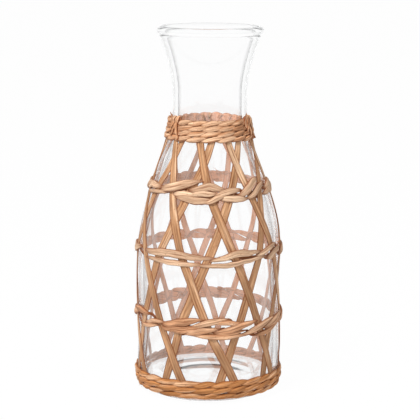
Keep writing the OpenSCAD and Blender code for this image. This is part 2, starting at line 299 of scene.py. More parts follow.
def closed_skin(name, rings, start, end, course=None, marks=None):
    """Closed mesh over rings of equal size, with a point before the first and after the last.
    course holds a UV pair and marks a named number for each ring point."""
    rows, size = rings.shape[:2]
    corners = np.vstack([rings.reshape(-1, 3), start, end])
    i, j = np.meshgrid(np.arange(rows - 1), np.arange(size), indexing="ij")
    a, b = i * size + j, i * size + (j + 1) % size
    quads = np.stack([a, b, b + size, a + size], -1).reshape(-1, 4)
    j = np.arange(size)
    first, last = rows * size, rows * size + 1
    cap = np.stack([np.full(size, first), (j + 1) % size, j], -1)
    tip = (rows - 1) * size
    end_cap = np.stack([np.full(size, last), tip + j, tip + (j + 1) % size], -1)
    faces = np.r_[quads.ravel(), cap.ravel(), end_cap.ravel()]
    counts = np.r_[np.full(len(quads), 4), np.full(2 * size, 3)]
    mesh = bpy.data.meshes.new(name)
    mesh.vertices.add(len(corners))
    mesh.vertices.foreach_set("co", corners.astype(np.float32).ravel())
    mesh.loops.add(len(faces))
    mesh.loops.foreach_set("vertex_index", faces.astype(np.int32))
    mesh.polygons.add(len(counts))
    mesh.polygons.foreach_set("loop_start", np.r_[0, np.cumsum(counts)[:-1]].astype(np.int32))
    mesh.polygons.foreach_set("use_smooth", np.ones(len(counts), bool))
    mesh.update(calc_edges=True)
    if course is not None:
        pairs = np.vstack([course.reshape(-1, 2), course[0].mean(0), course[-1].mean(0)])
        layer = mesh.uv_layers.new(name="Course")
        layer.data.foreach_set("uv", pairs[faces].astype(np.float32).ravel())
    for mark, values in (marks or {}).items():
        flat = np.r_[values.ravel(), values[0].mean(), values[-1].mean()]
        attribute = mesh.attributes.new(mark, "FLOAT", "POINT")
        attribute.data.foreach_set("value", flat.astype(np.float32))
    mesh.validate()
    piece = bpy.data.objects.new(name, mesh)
    bpy.context.scene.collection.objects.link(piece)
    return piece


def joined(name, pieces):
    """One piece made of one or several meshes."""
    first = pieces[0]
    if len(pieces) > 1:
        chosen = {"active_object": first, "object": first, "selected_editable_objects": pieces}
        with bpy.context.temp_override(**chosen):
            bpy.ops.object.join()
    first.name = name
    first.data.name = name
    return first


def dressed(piece, finish, nodes):
    """Gives a finished piece its material, hangs it under the body's empty and hides the solids it
    stands for.
    """
    piece.data.materials.clear()
    piece.data.materials.append(finish)
    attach(piece, BODY)
    if nodes:
        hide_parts(*nodes)


# A strip's course, section by section: angle, height, lift, width, thickness, tone, and painted shade
# with a little darker tone of its own
Strip = namedtuple("Strip", "angle z lift width body tone crease")

# How a strip's face looks: where its splits run, as shares of its half width, how deep they
# are, the height of its fine ridges, how round its section is, and how much its parts differ
Grain = namedtuple("Grain", "splits depth ridge roundness contrast")


def fibre_strip(name, strip, seed, grain, upright=False, sides=28):
    """Flat fibre carried along a course on the glass. Its section is a low dome of the strip's
    width and body, flat underneath. The splits wander a little along its face, and the parts
    between them have fine ridges and each its own tone. The mark tone follows the strip and the
    parts between its splits, and the mark of painted shade follows the strip and adds painted
    shade along its edges and in its splits. Across is level on an upright strip, and otherwise
    lies on the glass."""
    centre = OUTLINE.point(strip.angle, strip.z, strip.lift)
    along = unit(np.gradient(centre, axis=0))
    if upright:
        across = np.stack([np.cos(strip.angle), np.sin(strip.angle), 0 * strip.angle], -1)
        out = np.cross(across, along)
    else:
        out = OUTLINE.normal(strip.angle, strip.z)
        out = unit(out - along * (out * along).sum(-1, keepdims=True))
        across = np.cross(out, along)
    way = np.r_[0, np.cumsum(np.linalg.norm(np.diff(centre, axis=0), axis=1))]
    turn = np.linspace(0, 2 * math.pi, sides, endpoint=False)
    side, top = np.cos(turn), np.sin(turn)
    share = (np.sign(side) * np.abs(side) ** 0.8)[None]
    dome = np.where(top > 0, np.abs(top) ** grain.roundness, -0.12 * np.abs(top) ** 0.5)[None]
    face = np.clip(top, 0, 1)[None] ** 0.4
    draw = np.random.RandomState(seed)
    relief = grain.ridge * np.sin(share * 9 * math.pi + draw.uniform(0, 6)) * face
    split = np.zeros((len(way), sides))
    parts = np.zeros((len(way), sides))
    for number, place in enumerate(grain.splits):
        middle = (place + 0.1 * wander(way, seed + 11 * number, 40 * MM))[:, None]
        open_share = 0.65 + 0.4 * wander(way, seed + 7 + number, 28 * MM)
        gap = np.exp(-(((share - middle) / 0.1) ** 2))
        split = np.maximum(split, gap * np.clip(open_share, 0, 1)[:, None])
        parts = parts + draw.choice((-1, 1)) * draw.uniform(0.4, 1) * np.tanh((share - middle) / 0.06)
    half = strip.width[:, None] / 2 * share
    height = strip.body[:, None] * dome + relief - grain.depth * split * face
    rings = centre[:, None] + across[:, None] * half[..., None] + out[:, None] * height[..., None]
    distance = np.broadcast_to(way[:, None] + 0.31 * (seed % 97), half.shape)
    course = np.stack([distance, half + 0.013 * (seed % 89)], -1)
    # Painted shade: the strip's edges, where it meets its neighbours, are darkened towards brown
    edge = 0.95 * np.clip((np.abs(share) - 0.6) / 0.36, 0, 1) ** 1.5
    marks = {
        "tone": np.clip(strip.tone[:, None] + grain.contrast * parts, 0, 1),
        # The mark of painted shade: the strip's own, with the darkened edges and splits added
        "crease": np.clip(strip.crease[:, None] + edge + 0.9 * split * face, 0, 1),
        # The side on the glass, which the fibre material paints paler and pinkish and lets glow
        "inner_side": np.broadcast_to((top < -0.05).astype(float)[None], half.shape),
    }
    start = centre[0] - along[0] * strip.width[0] / 6
    end = centre[-1] + along[-1] * strip.width[-1] / 6
    return closed_skin(name, rings, start, end, course, marks)


def rings_of(node):
    """The level sections of a packed stake as rows of height, angle in radians, half width and
    lift of the inner side."""
    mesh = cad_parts[node].data
    points = np.empty(3 * len(mesh.vertices), np.float32)
    mesh.vertices.foreach_get("co", points)
    x, y, z = points.reshape(-1, 3).astype(float).T
    angle, radius = np.arctan2(x, -y), np.hypot(x, y)
    lift = radius - OUTLINE.radius(z)
    order = np.argsort(z)
    rows = []
    for group in np.split(order, np.nonzero(np.diff(z[order]) > 0.3 * MM)[0] + 1):
        middle = math.atan2(np.sin(angle[group]).mean(), np.cos(angle[group]).mean())
        swing = (angle[group] - middle + math.pi) % (2 * math.pi) - math.pi
        half = np.abs(swing).max() * radius[group].mean()
        rows.append([z[group].mean(), middle, half, lift[group].min()])
    return np.array(rows)


def stake_piece(name, seed, finish):
    """A stake on the course of its solid: the turns between the solid's sections are rounded,
    and its width, thickness and tone waver a little along it. It is narrower at the back, paler
    at the shoulder and darker near the foot."""
    sizes = bpy.context.scene.carafe_fibre
    rings = rings_of(name)
    z = np.linspace(rings[0, 0], rings[-1, 0], 170)
    angle = eased(z, rings[:, 0], np.unwrap(rings[:, 1]), 5 * MM)
    slant = np.gradient(angle, z) * OUTLINE.radius(z)
    behind = np.clip(0.5 - 0.9 * np.cos(angle), 0, 1)
    width = 2 * eased(z, rings[:, 0], rings[:, 2], 3 * MM) / np.sqrt(1 + slant**2)
    width = width * (1 - sizes.taper_behind * behind)
    lift = eased(z, rings[:, 0], rings[:, 3], 3 * MM)
    own_tone = np.random.RandomState(seed).uniform(0.25, 0.55)
    # Paler towards the shoulder and darker towards the foot
    at_shoulder = np.clip((z - 130 * MM) / (35 * MM), 0, 1)
    near_foot = np.clip((60 * MM - z) / (40 * MM), 0, 1)
    brightening = 0.12 * at_shoulder - 0.25 * near_foot
    strip = Strip(
        angle=angle + 0.2 * MM / OUTLINE.radius(z) * wander(z, seed + 1, 40 * MM),
        z=z,
        lift=STAKE_SINK * (lift - GLASS_GAP),
        width=width * (1.02 + 0.05 * wander(z, seed + 2, 35 * MM)),
        body=sizes.stake_body * (1 + 0.12 * wander(z, seed + 3, 25 * MM)),
        tone=own_tone + brightening + 0.22 * wander(z, seed + 4, 60 * MM),
        crease=np.zeros_like(z),
    )
    grain = Grain((-0.4, 0.26), sizes.split, 0.6 * sizes.ridge, 0.5, 0.12)
    piece = fibre_strip(name + "_strip", strip, seed, grain)
    dressed(piece, finish, [name])


# A stretch of a strand that shows: angles in degrees and heights in millimetres at its start,
# middle and end, its greatest width in millimetres, its end widths as shares of that, and how
# many millimetres further out it lies
Pass = namedtuple("Pass", "a0 z0 a1 z1 a2 z2 width start end rise", defaults=(0,))


def twined_passes(stops, z, strand, strands, style, seed):
    """The stretches that show of one strand of a row of two or three, at every second or third
    stop. Each rises from the lower to the upper half of the row, so that it ends over the start
    of the next."""
    draw = np.random.RandomState(seed)
    before = np.r_[stops[-1] - 360, stops[:-1]]
    after = np.r_[stops[1:], stops[0] + 360]
    heights = np.broadcast_to(z, len(stops))
    found = []
    for k in range(strand, len(stops), strands):
        jog, size, low, high = draw.uniform(-1, 1, 4)
        a0 = stops[k] - (style.reach + 0.06 * low) * (stops[k] - before[k])
        a2 = stops[k] + (style.reach + 0.06 * high) * (after[k] - stops[k])
        middle = heights[k] + 0.12 * jog * style.lane
        found.append(
            Pass(a0, middle - style.lane, (a0 + a2) / 2 + jog, middle, a2, middle + style.lane,
                 style.width * (1 + 0.07 * size), style.start, style.end)
        )
    return found


def strand_controls(passes, style, body):
    """Sections that a strand is drawn through, as rows of angle, height, lift, width, body,
    tone and painted shade. Each pass is a spindle: u runs from -1 to 1 along it, its fullness is
    1 - |u|^point, and its climb is 1.5 u - 0.5 u^3; painted shade darkens its ends. Between passes
    the strand is thin, flat, painted dark as shade, and against the glass."""
    tucked, thin = 0.05 * MM, 0.35 * MM
    u = np.linspace(-1, 1, 13)
    full = 1 - np.abs(u) ** style.point
    climb = 1.5 * u - 0.5 * u**3
    blocks = []
    for number, each in enumerate(passes):
        ends = np.where(u < 0, each.start, each.end)
        angle = np.interp(u, (-1, 0, 1), (each.a0, each.a1, each.a2))
        rise = style.float_lift + each.rise * MM - tucked
        tone = 0.5 + 0.45 * wander(np.array([number * 1.7 + each.a1 * 0.13]), 5, 3)[0]
        block = np.stack([
            angle * DEGREE,
            np.interp(climb, (-1, 0, 1), (each.z0, each.z1, each.z2)) * MM,
            tucked + rise * (0.3 + 0.7 * full),
            (ends + (1 - ends) * full) * each.width * MM,
            thin + (body - thin) * (0.25 + 0.75 * full),
            np.full_like(u, tone),
            # Painted shade at the ends of a pass, where it dives under the next
            0.95 * np.abs(u) ** 6,
        ], -1)
        under = block[[0, -1]]
        dive = min(2.2, 0.09 * (each.a2 - each.a0)) * DEGREE
        under[:, 0] += np.array([-1, 1]) * dive
        # The tucked stretches are thin, flat, on the glass and painted fully dark as shade
        under[:, 2:5] = tucked, 0.55 * each.width * MM, thin
        under[:, 6] = 1
        blocks += [under[:1], block, under[1:]]
    rows = np.vstack(blocks)
    lead_in, lead_out = rows[0].copy(), rows[-1].copy()
    lead_in[0] -= 3 * DEGREE
    lead_out[0] += 3 * DEGREE
    rows = np.vstack([lead_in, rows, lead_out])
    return rows[np.argsort(rows[:, 0], kind="stable")]


def strand_strip(controls, softness, seed):
    """Dense course through a strand's control sections, with a little unevenness."""
    angle = np.arange(controls[0, 0], controls[-1, 0], DEGREE)
    reaches = np.array([2, 1, 1, 1, 1, 1]) * softness * DEGREE
    z, lift, width, body, tone, crease = (
        eased(angle, controls[:, 0], column, reach)
        for column, reach in zip(controls.T[1:], reaches)
    )
    return Strip(
        angle=angle,
        z=z + 0.15 * MM * wander(angle, seed, 14 * DEGREE),
        lift=lift,
        width=width * (1 + 0.05 * wander(angle, seed + 1, 18 * DEGREE)),
        body=body * (1 + 0.1 * wander(angle, seed + 2, 16 * DEGREE)),
        tone=tone + 0.12 * wander(angle, seed + 3, 25 * DEGREE),
        crease=crease,
    )


def with_front(passes, front):
    """The even passes of a strand, with those at the front exchanged for chosen ones. Passes
    that reach in from the sides end a few degrees off, so that the strand can dive between."""
    room = 7
    low, high = front[0].a0 - room, front[-1].a2 + room
    kept = []
    for each in passes:
        if low < each.a1 < high:
            continue
        if each.a0 < low < each.a2:
            each = each._replace(a2=low)
        if each.a0 < high < each.a2:
            each = each._replace(a0=high)
        kept.append(each)
    return sorted(kept + list(front), key=lambda each: each.a0)


def strand_piece(name, finish, slot, seed, style, courses):
    """A strand in the place of its solid. courses holds the passes of the strand and of any
    short lengths that are spliced in beside it."""
    sizes = bpy.context.scene.carafe_fibre
    body = style.body_share * sizes.strand_body
    grain = Grain((-0.48, 0.02, 0.5), 0.9 * sizes.split, sizes.ridge, 0.8, 0.14)
    pieces = []
    for number, passes in enumerate(courses):
        controls = strand_controls(passes, style, body)
        strip = strand_strip(controls, style.softness, seed + 50 * number)
        pieces.append(fibre_strip(f"{name}_{number}", strip, seed + number, grain))
    dressed(joined(name + "_strand", pieces), finish, [name])


def twined_row(band, row, front, count, style, seed):
    """Both strands of one twined row, at the height of their solids. The middles of the passes
    at the front are given, and the others are spread evenly from there round the back."""
    rest = np.linspace(front[-1], front[0] + 360, count - len(front) + 2)[1:-1]
    jogs = 1.2 * np.random.RandomState(seed + row).uniform(-1, 1, count)
    stops = np.r_[front, rest] + jogs
    for side, letter in enumerate("ab"):
        name = f"{band}_weaver_{row}{letter}"
        low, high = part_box(name)
        middle = (low.z + high.z) / 2 / MM
        passes = twined_passes(stops, middle, side, 2, style, seed + 10 * row + side)
        slot = band + "_fibre"
        strand_piece(name, fibre(band), slot, seed + 10 * row + side, style, [passes])


# How the strands of a band are drawn: how many stops a pass reaches to each side, its end
# widths, lift and thickness, how softly it bends, how blunt its ends are, its width, and its
# rise to each side of the band's middle, both in millimetres
Style = namedtuple("Style", "reach start end float_lift body_share softness point width lane")
COLLAR_TWINED = Style(0.82, 0.14, 0.12, 1.1 * MM, 1.5, 0.9, 1.8, 3.9, 1.1)
FOOT_TWINED = Style(0.86, 0.14, 0.12, 0.7 * MM, 1.3, 0.7, 1.7, 4.4, 1.1)
CLIMBING = Style(1.35, 0.2, 0.15, 0.95 * MM, 1.35, 1.2, 1.9, 5.4, 3.2)
CROSSING = Style(0.9, 0.3, 0.25, 0.95 * MM, 1.2, 1.3, 2.0, 5.2, 2.7)

# Middles of the foot band's passes at the front in degrees, from the lowest row up
FOOT_FRONT = (
    (-61, -47, -33, -14, -1, 11, 28, 42),
    (-66, -51, -35, -16, -3, 11, 24, 37, 49),
    (-64, -50, -34, -15, -1, 11, 23, 36, 48),
)
FOOT_PASSES = 28

# The same for every row of the collar
COLLAR_FRONT = (-77, -57, -38, -18, 3, 24, 44, 62)
COLLAR_PASSES = 18

# The open bands, strand by strand: first the stretches of the strand that show at the front, then
# those of each short length that is spliced in beside it
SHOULDER_COURSES = {
    "a": [[Pass(-53, 146, -31, 149, -6, 152.5, 6.8, 0.5, 0.05, 1.1),
           Pass(4, 143.5, 18, 146, 31, 146.5, 4.8, 0.15, 0.5, 0.3),
           Pass(36, 140.5, 49, 144.5, 67, 149, 4.4, 0.3, 0.4)],
          [Pass(-33, 141.5, -13, 140, 4, 140, 5.4, 0.3, 0.4)]],
    "b": [[Pass(-90, 144, -70, 147, -54, 146.5, 5.2, 0.4, 0.5, -0.2),
           Pass(-20, 146.5, 0, 149.5, 16, 147, 6, 0.3, 0.3, 0.2),
           Pass(28, 143, 41, 148, 56, 152.5, 6, 0.35, 0.4, 0.7),
           Pass(66, 145, 81, 148, 91, 149, 5, 0.5, 0.5)],
          [Pass(-4, 138.5, 6, 141.5, 16, 143, 4.4, 0.3, 0.1, 0.6)]],
    "c": [[Pass(-80, 142, -58, 143, -41, 144, 3, 0.5, 0.4),
           Pass(-36, 143.5, -24, 144, -11, 143.5, 4.6, 0.5, 0.2),
           Pass(8, 141.5, 20, 141, 38, 140.5, 5, 0.3, 0.4)],
          [Pass(-20, 144, -6, 144.5, 8, 144.5, 4.6, 0.3, 0.2, 0.3)]],
}
LOWER_COURSES = {
    "a": [[Pass(-58, 53, -47, 55.5, -36, 55.5, 3.4, 0.3, 0.3, 0.5),
           Pass(-14, 55, 0, 58, 15, 59.5, 4.8, 0.1, 0.3, 0.5),
           Pass(26, 48.5, 41, 52, 63, 56, 4.4, 0.1, 0.3, 0.4)],
          [Pass(-20, 49.5, -6, 52, 8, 53, 4.8, 0.15, 0.2, 0.4)]],
    "b": [[Pass(-83, 59, -66, 60, -53, 59, 4.2, 0.5, 0.4),
           Pass(-39, 54.5, -22, 57, -3, 59.5, 5.6, 0.35, 0.1, 0.3),
           Pass(3, 51, 22, 54, 41, 56.5, 5, 0.1, 0.2, 0.8)],
          [Pass(-1, 58, 15, 57.5, 32, 55.5, 3.8, 0.4, 0.2)]],
    "c": [[Pass(-66, 50, -52, 51, -42, 53, 3.4, 0.4, 0.3),
           Pass(-40, 51.5, -20, 52, -2, 54, 5, 0.4, 0.1, 0.2),
           Pass(4, 50.5, 16, 50, 30, 51, 3.4, 0.3, 0.2),
           Pass(38, 46.5, 54, 48, 82, 53, 3.8, 0.3, 0.4)],
          [Pass(-18, 49, 8, 47.4, 34, 48, 4, 0.2, 0.3)]],
}
WAIST_COURSES = {
    "a": [[Pass(-58, 98.5, -29, 98, -3, 97.5, 3.9, 0.4, 0.4),
           Pass(0, 100.5, 21, 105, 45, 104.5, 5, 0.2, 0.3, 0.3)]],
    "b": [[Pass(-60, 103, -32, 104.5, 6, 102, 5.6, 0.5, 0.2, 0.2),
           Pass(39, 101.5, 51, 105, 66, 107, 4, 0.3, 0.4)],
          [Pass(-10, 97, 14, 97, 52, 100.5, 3.7, 0.2, 0.4)]],
}

# Name, colour, stops round the glass, style and courses of each open band, how many millimetres
# higher it lies at the back, and its seed
Band = namedtuple("Band", "name zone stops style courses rise_behind seed")
OPEN_BANDS = (
    Band("shoulder", "pale", 24, CLIMBING, SHOULDER_COURSES, 0, 900),
    Band("waist", "pale", 18, CROSSING, WAIST_COURSES, -1.2, 940),
    Band("lower", "lower", 24, CLIMBING, LOWER_COURSES, 3, 920),
)


def open_band(band):
    """The strands of an open band, at the height of their solids: an even plait whose passes at
    the front are exchanged for chosen ones, with short lengths spliced in beside them."""
    jogs = np.random.RandomState(band.seed).uniform(-0.2, 0.2, band.stops)
    stops = (np.arange(band.stops) + jogs) * 360 / band.stops - 180
    low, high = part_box(f"{band.name}_weaver_a")
    behind = np.clip(-np.cos(stops * DEGREE), 0, 1)
    z = (low.z + high.z) / 2 / MM + band.rise_behind * behind
    for number, (letter, (front, *spliced)) in enumerate(band.courses.items()):
        name = f"{band.name}_weaver_{letter}"
        seed = band.seed + number
        even = twined_passes(stops, z, number, len(band.courses), band.style, seed)
        courses = [with_front(even, front), *spliced]
        strand_piece(name, fibre(band.zone), band.zone + "_fibre", seed, band.style, courses)


# The tails of a lashing: how many degrees each is turned, how many it leans towards its low
# end, how far above the collar's low edge it ends, and its width
LASHING_TAILS = (
    (-4, -5, 5 * MM, 3 * MM),
    (1, 7, 0, 2.6 * MM),
    (4, -9, 2.5 * MM, 2.7 * MM),
)


def hook_strip(name, angle, lean, ends, width, seed):
    """A short strand up the outside of the collar, over its top and down its inside: straight
    up, then half an ellipse as wide as the collar is thick, then straight down. It tapers to
    both ends with the power 2.2 of the way from its widest place."""
    low, top = ends
    outside, inside, bend = 3.2 * MM, 0.5 * MM, 2.4 * MM
    t = np.linspace(0, math.pi, 40)
    arc_z = top - bend + bend * np.sin(t)
    arc_lift = (outside + inside) / 2 + (outside - inside) / 2 * np.cos(t)
    rise = np.linspace(low, top - bend, 60)[:-1]
    fall = np.linspace(top - bend, top - 3 * bend, 20)[1:]
    z = np.r_[rise, arc_z, fall]
    lift = np.r_[np.full_like(rise, outside), arc_lift, np.full_like(fall, inside)]
    way = np.linspace(0, 1, len(z))
    strip = Strip(
        angle=angle + lean * (1 - way) ** 2 + 0.03 * wander(way, seed, 0.7),
        z=z,
        lift=lift + 0.3 * MM * wander(way, seed + 1, 0.25),
        width=width * (1 - 0.85 * (np.abs(way - 0.45) / 0.55) ** 2.2),
        body=np.full_like(z, 0.9 * MM),
        tone=0.5 + 0.4 * wander(way, seed + 2, 0.8),
        # Painted shade at its low end, where it goes in among the collar's rows, and a few darker
        # stretches of its own
        crease=np.clip(0.9 - way / 0.06, 0, 1) + 0.35 * (wander(way, seed + 3, 0.2) > 0.9),
    )
    grain = Grain((-0.3, 0.35), 0.2 * MM, 0.05 * MM, 0.8, 0.14)
    return fibre_strip(name, strip, seed, grain, True)


def spike_strip(name, angle, top, seed):
    """The pointed end of a stake that stands up out of the collar's top row."""
    way = np.linspace(0, 1, 40)
    strip = Strip(
        angle=angle - 0.05 * way**2,
        z=top - 7 * MM + 10 * MM * way,
        lift=2.4 * MM + 1.8 * MM * way**2,
        width=4.4 * MM * (1 - way) ** 0.6 + 0.2 * MM,
        body=0.7 * MM * (1 - 0.6 * way),
        tone=np.full_like(way, 0.6),
        # Darker towards its tip
        crease=0.3 * way,
    )
    return fibre_strip(name, strip, seed, Grain((0.1,), 0.15 * MM, 0.05 * MM, 0.7, 0.1), True)


def lashing(number):
    """The crossed tails of a lashing, hooked over the collar at the place of their solid. At the
    sides a stake's pointed end stands beside them, and behind they are a little lower."""
    name = f"collar_lashing_{number}"
    low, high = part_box(name)
    angle = math.atan2(low.x + high.x, -low.y - high.y)
    behind = math.cos(angle) < 0
    top = high.z - (2.6 * MM if behind else 0.4 * MM)
    strips = []
    for tail, (turn, lean, rise, width) in enumerate(LASHING_TAILS):
        ends = (low.z + rise, top)
        seed = 600 + 10 * number + tail
        strips.append(
            hook_strip(f"{name}_{tail}", angle + turn * DEGREE, lean * DEGREE, ends, width, seed)
        )
    if not behind:
        strips.append(spike_strip(name + "_tip", angle - 8 * DEGREE, top, 640 + number))
    dressed(joined(name + "_hook", strips), fibre("collar"), [name])


# Loose fibres: angle in degrees and height in millimetres of the root, then how far the tip
# turns, rises and stands off
LOOSE_FIBRES = (
    (-82, 3, -4, -3, 4), (-78, 5, 3, -4, 2), (-86, 12, 4, 2, 2), (-84, 55, 4, -3, 2),
    (-86, 104, 5, 2, 1.5), (-84, 100, -4, -3, 2), (86, 103, -4, 2, 2), (84, 100, 5, -3, 1.5),
    (84, 53, 4, 3, 2), (-66, 147, 5, 2, 2), (84, 148, 3, 2, 2), (80, 11, 4, 3, 2),
    (60, 6, 6, -3, 2), (-62, 189, -4, 3, 2), (66, 189, 5, 3, 2), (-20, 4, 6, -2, 1.5),
    (170, 148, 6, 3, 2), (205, 54, -5, 3, 2), (150, 102, 5, -3, 2), (190, 8, -5, 3, 2),
)


def hair_strip(name, place, radius, seed):
    """A thin fibre from its root under a strand to its tip, bending more and more outwards."""
    angle, z, turn, rise, off = place
    way = np.linspace(0, 1, 24)
    strip = Strip(
        angle=(angle + turn * way**1.5) * DEGREE,
        z=(z + rise * way) * MM,
        lift=(0.4 + off * way**1.6) * MM,
        width=2 * radius * (3.5 - 2.8 * way),
        body=radius * (3 - 2.2 * way),
        tone=0.4 + 0.2 * wander(way, seed, 0.8),
        # Painted shade towards its root, where it comes out under a strand
        crease=0.5 * (1 - way),
    )
    return fibre_strip(name, strip, seed, Grain((), 0, 0, 0.7, 0), sides=8)


class Wire:
    """A socket of a shader node in a finish, so that sums on it read as plain Python."""

    def __init__(self, finish, socket):
        self.finish, self.socket = finish, socket

    def maths(self, operation, *values):
        return self.finish.add("Math", {"operation": operation}, dict(enumerate(values)))

    def __add__(self, other):
        return self.maths("ADD", self, other)

    __radd__ = __add__

    def __mul__(self, other):
        return self.maths("MULTIPLY", self, other)

    __rmul__ = __mul__

    def __sub__(self, other):
        return self.maths("SUBTRACT", self, other)

    def __rsub__(self, other):
        return self.maths("SUBTRACT", other, self)

    def between(self, low, high):
        """0 below low, 1 above high, and straight between."""
        inputs = {"Value": self, "From Min": low, "From Max": high}
        return self.finish.add("MapRange", {"clamp": True}, inputs)


class Finish:
    """The nodes of a material or of the sky."""

    def __init__(self, owner):
        self.owner = owner
        owner.use_nodes = True
        self.tree = owner.node_tree
        self.tree.nodes.clear()

    def add(self, kind, settings=None, inputs=None, output=0):
        """A node of a kind, with its settings set first, then its inputs, by name or number."""
        node = self.tree.nodes.new("ShaderNode" + kind)
        for name, value in (settings or {}).items():
            setattr(node, name, value)
        for name, value in (inputs or {}).items():
            if isinstance(value, Wire):
                self.tree.links.new(value.socket, node.inputs[name])
            elif isinstance(value, tuple) and node.inputs[name].type == "RGBA":
                node.inputs[name].default_value = (*value, 1)
            else:
                node.inputs[name].default_value = value
        return Wire(self, node.outputs[output]) if node.outputs else node

    def mark(self, name):
        """A number that the mesh carries at each point."""
        return self.add("Attribute", {"attribute_name": name}, None, 2)

    def mix(self, factor, first, second):
        """Colour first where factor is 0 and second where it is 1."""
        settings = {"data_type": "RGBA", "blend_type": "MIX"}
        return self.add("Mix", settings, {0: factor, 6: first, 7: second}, 2)

    def noise(self, vector, detail, roughness, scale=1.0):
        """Cloudy noise from 0 to 1."""
        inputs = {"Vector": vector, "Scale": scale, "Detail": detail, "Roughness": roughness}
        return self.add("TexNoise", None, inputs)

    def ray(self, output):
        """1 on a kind of ray: 0 from the camera, 1 to a lamp, 3 mirrored, 6 through clear glass."""
        return self.add("LightPath", None, None, output)

    def seen_directly(self):
        """1 for what the camera, a mirror or a clear glass sees, and 0 for light on a surface."""
        return (self.ray(0) + self.ray(3) + self.ray(6)).between(0.0, 1.0)


def scaled(shade, factor):
    """A shade made darker or brighter, as far as its hue can be kept."""
    factor = min(factor, 1 / max(shade))
    return tuple(channel * factor for channel in shade)


def fibre_finish(name, shade, seed):
    """Dry plant fibre: fine streaks along the strip, broad paler and darker stretches, painted brown
    shade in the creases and small dark flecks. The side that lies on the glass is painted paler and
    pinkish, and has a painted glow, weaker near the foot, which brightens the sleeve's far side
    seen through the glass."""
    colours = bpy.context.scene.carafe_colours
    shade = tuple(shade)
    finish = Finish(bpy.data.materials.new(name))
    course = finish.add("UVMap", {"uv_map": "Course"})

    def along(length_scale, width_scale):
        """The strip's own course, with a pattern's turns per metre along and across it."""
        inputs = {
            "Vector": course,
            "Location": (seed * 3.7, seed * 1.3, 0.0),
            "Scale": (length_scale, width_scale, 1.0),
        }
        return finish.add("Mapping", None, inputs)

    tone, crease, inner = map(finish.mark, ("tone", "crease", "inner_side"))
    place = finish.add("TexCoord", None, None, 3)
    streaks = finish.noise(along(40.0, 820.0), 3.0, 0.62)
    threads = finish.noise(along(150.0, 2600.0), 2.0, 0.5)
    stretches = finish.noise(along(50.0, 330.0), 2.0, 0.5)
    patches = finish.noise(place, 2.0, 0.5, 34.0)
    flecks = finish.noise(along(700.0, 1100.0), 1.0, 0.4)
    pale = (stretches * 0.5 + patches * 0.2 + tone * 0.5).between(0.38, 0.8)
    body = finish.mix(pale, scaled(shade, 0.7), scaled(shade, 1.3))
    body = finish.mix(pale.between(0.5, 1.4), body, tuple(colours.cream))
    fibres = (streaks * 0.7 + threads * 0.3).between(0.38, 0.62)
    body = finish.mix((1 - fibres) * 0.75, body, scaled(shade, 0.33))
    # brown paints the shade in the creases and colours the flecks; pinkish is the painted paler
    # colour of the side on the glass
    brown, pinkish = tuple(colours.shade_and_fleck_brown), tuple(colours.inner)
    body = finish.mix(flecks.between(0.66, 0.74) * 0.55, body, brown)
    # Painted light: the side on the glass gets the paler pink, streaked like the rest
    painted_pale_side = finish.mix((1 - fibres) * 0.7, pinkish, scaled(pinkish, 0.58))
    body = finish.mix(inner, body, painted_pale_side)
    # Painted shade: the marked edges, ends, splits and tucked stretches are darkened towards brown,
    # less on the side on the glass
    body = finish.mix(crease * (0.88 - inner * 0.5), body, brown)
    # Painted glow: the side on the glass gives off its own paler colour, fading out towards the foot
    height = finish.add("SeparateXYZ", None, {0: place}, 2)
    painted_glow_share = height.between(-30 * MM, 100 * MM) * inner
    glow = finish.mix(painted_glow_share, (0.0, 0.0, 0.0), painted_pale_side)
    relief = {"Strength": 0.7, "Distance": 0.3 * MM, "Height": streaks * 0.75 + threads * 0.25}
    leaf = {
        "Base Color": body,
        "Roughness": 0.78 - fibres * 0.2,
        "Specular IOR Level": 0.22,
        "Emission Color": glow,
        "Emission Strength": 0.17,
        "Normal": finish.add("Bump", None, relief),
    }
    skin = finish.add("BsdfPrincipled", None, leaf)
    finish.add("OutputMaterial", None, {"Surface": skin})
    return finish.owner


def glass_finish(haze):
    """Clear glass, greyer where the light runs far in it. Its inner wall is marked, and a grey
    colour painted on it darkens the light that grazes it, so that the wall's inner edge shows as a
    soft grey line: painted shade in place of the dark that a real wall's edge bends in. Where it is
    seen aslant the glass bends the light less, which keeps its edges clean. It throws no shadow,
    so the far side of the sleeve is lit through it."""
    finish = Finish(bpy.data.materials.new("clear_glass_blown"))
    inner, upright = finish.mark("inner_side"), finish.mark("upright")
    white, painted_line_grey, deep = (1.0, 1.0, 1.0), (0.9, 0.905, 0.91), (0.72, 0.76, 0.78)
    facing = finish.add("LayerWeight", None, {"Blend": 0.5}, 1)
    # Painted shade: a grey colour on the inner wall, seen aslant, draws the wall's inner edge line
    painted_line_tint = finish.mix(facing.maths("POWER", facing, 3.5) * inner, white, painted_line_grey)
    clear = {
        "Base Color": painted_line_tint,
        "Roughness": 0.0,
        "IOR": 1.5,
        "Specular IOR Level": 0.3,
        "Transmission Weight": 1.0,
    }
    skin = finish.add("BsdfPrincipled", None, clear)
    straight = finish.add("BsdfTransparent", None, {"Color": painted_line_tint})
    aslant = facing.between(0.58, 0.9) * upright * 0.85
    share = (finish.ray(1) + aslant).between(0.0, 1.0)
    either = finish.add("MixShader", None, {0: share, 1: skin, 2: straight})
    depth = finish.add("VolumeAbsorption", None, {"Color": deep, "Density": haze})
    finish.add("OutputMaterial", None, {"Surface": either, "Volume": depth})
    return finish.owner


